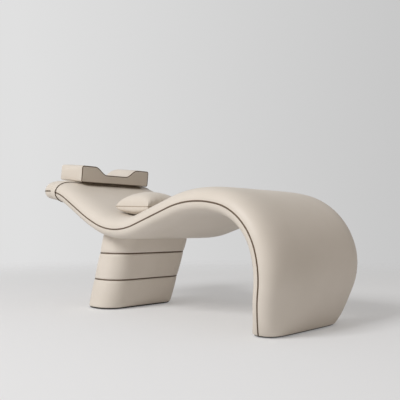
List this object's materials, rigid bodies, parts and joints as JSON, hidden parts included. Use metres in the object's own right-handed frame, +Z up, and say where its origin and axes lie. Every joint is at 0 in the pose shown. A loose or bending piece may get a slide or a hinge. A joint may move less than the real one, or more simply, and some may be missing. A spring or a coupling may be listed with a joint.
{
  "type": "curved lash bed",
  "caption": "Wave-shaped padded treatment bed on a leaning banded pedestal, with a head pillow on a sliding sleeve and a loose seat cushion.",
  "frame": {"origin": "on the floor, under the middle of the whole object's box", "axes": "+X towards the foot, +Y across to the far side, +Z up"},
  "size_m": [1.777, 0.7656, 0.8699],
  "materials": {
    "cream_leather": "smooth cream leatherette, low sheen",
    "brown_piping": "dark brown leatherette over cord",
    "foam": "open-cell foam",
    "plywood": "raw plywood",
    "dark_board": "dark stained board, matt",
    "black_plastic": "matt black",
    "zinc_steel": "zinc-plated"
  },
  "bodies": {
    "bed_body": {"top_cover": "cream_leather", "underside_cover": "cream_leather", "top_foam": "foam", "underside_foam": "foam", "left_piping": "brown_piping", "right_piping": "brown_piping", "left_rib": "plywood", "right_rib": "plywood", "top_deck": "plywood", "bottom_deck": "plywood", "cross_rail_1": "plywood", "cross_rail_2": "plywood", "cross_rail_3": "plywood", "cross_rail_4": "plywood", "cross_rail_5": "plywood", "cross_rail_6": "plywood", "cross_rail_7": "plywood", "seat_cleat": "plywood", "foot_base": "dark_board", "foot_glide_left": "black_plastic", "foot_glide_right": "black_plastic", "pedestal_carcass": "plywood", "pedestal_saddle": "plywood", "pedestal_bolt_1": "zinc_steel", "pedestal_bolt_2": "zinc_steel", "pedestal_bolt_3": "zinc_steel", "pedestal_bolt_4": "zinc_steel", "lower_band": "cream_leather", "middle_band": "cream_leather", "upper_band": "cream_leather", "lower_trim": "brown_piping", "upper_trim": "brown_piping", "plinth": "dark_board", "pedestal_glide_1": "black_plastic", "pedestal_glide_2": "black_plastic", "pedestal_glide_3": "black_plastic", "pedestal_glide_4": "black_plastic"},
    "pillow_body": {"pillow": "cream_leather", "pillow_piping": "brown_piping", "head_band": "cream_leather", "band_trim": "brown_piping"},
    "cushion_body": {"throw_cushion": "cream_leather"}
  },
  "joints": [
    {"name": "pillow_slide", "type": "hinge", "parent": "bed_body", "child": "pillow_body", "pos_m": [-0.84599, 0, 0.20099], "axis": [0, -1, 0], "range_deg": [0, 32]},
    {"name": "cushion_lift", "type": "slide", "parent": "bed_body", "child": "cushion_body", "axis": [0, 0, 1], "range_m": [0, 0.4]}
  ]
}
